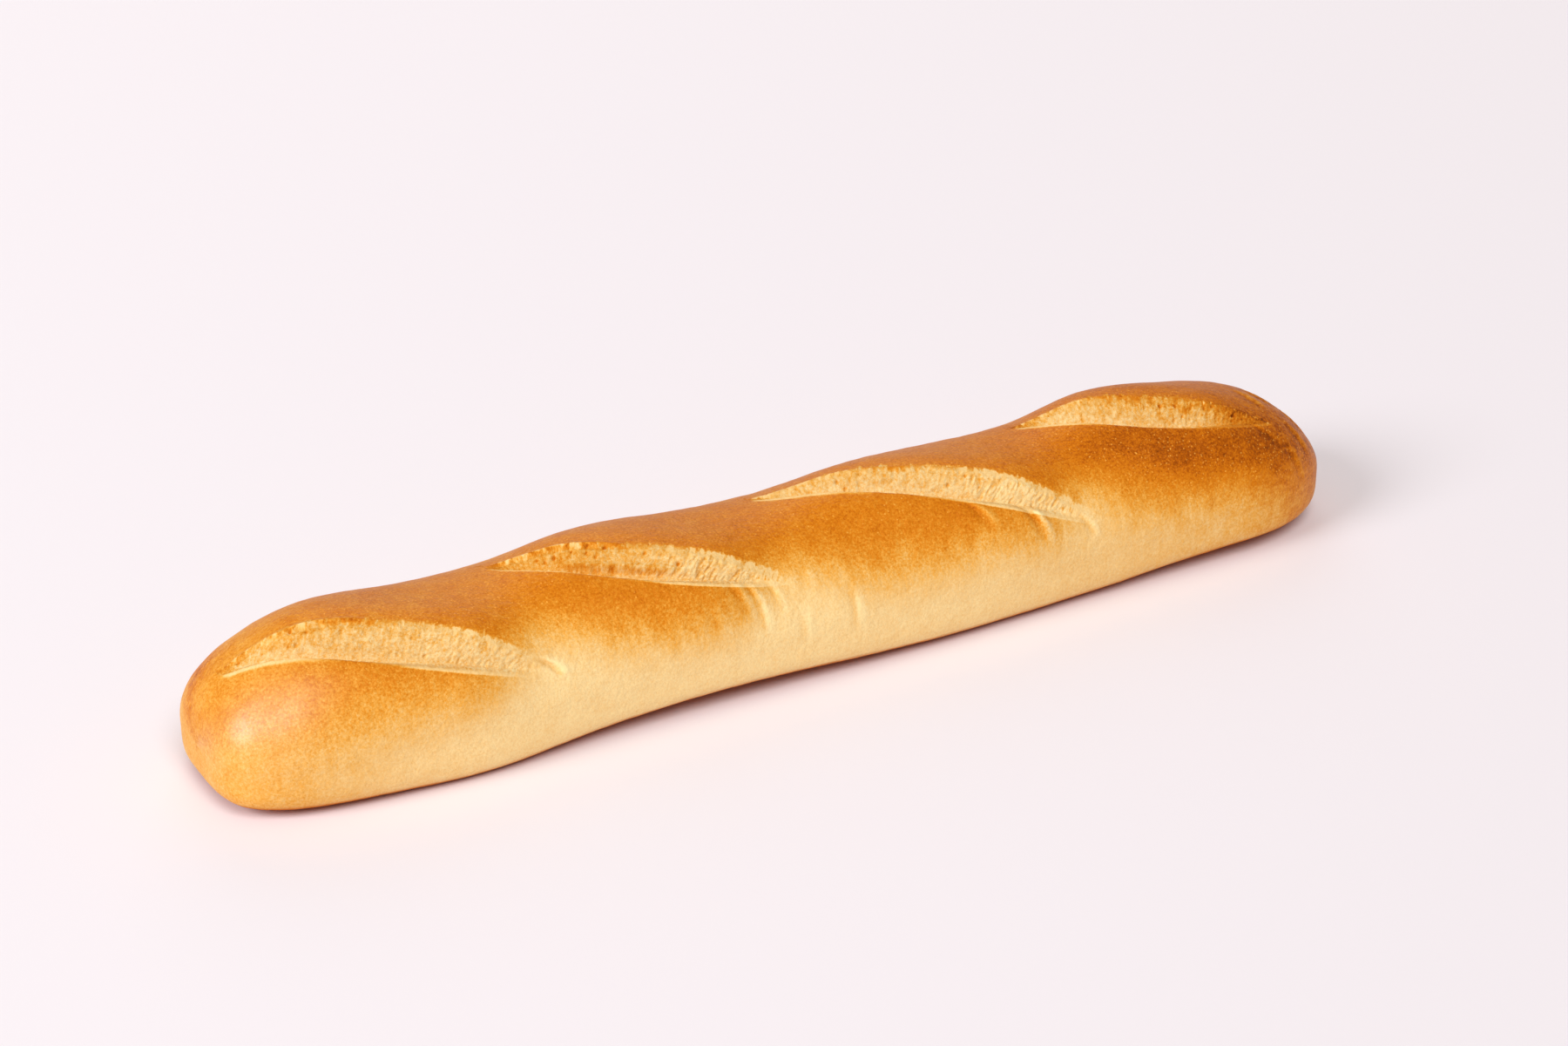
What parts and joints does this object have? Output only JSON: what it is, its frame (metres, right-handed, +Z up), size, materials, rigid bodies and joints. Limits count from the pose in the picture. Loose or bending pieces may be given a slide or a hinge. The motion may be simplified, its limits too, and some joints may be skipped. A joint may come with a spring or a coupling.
{
  "type": "baguette",
  "caption": "Long crusty wheat loaf with rounded ends, a flat base and slanting cuts torn open along its top, baked golden brown. Eaten sliced or split.",
  "frame": {"origin": "centre of the bounding box at the base, on the surface the loaf lies on", "axes": "+X along the loaf, -Y the side that the cuts lean towards, +Z up"},
  "size_m": [0.435, 0.0788, 0.0567],
  "materials": {
    "crust": "baked crust, golden brown on top, pale at the sides, satin"
  },
  "bodies": {
    "root": {"loaf": "crust"}
  },
  "joints": []
}
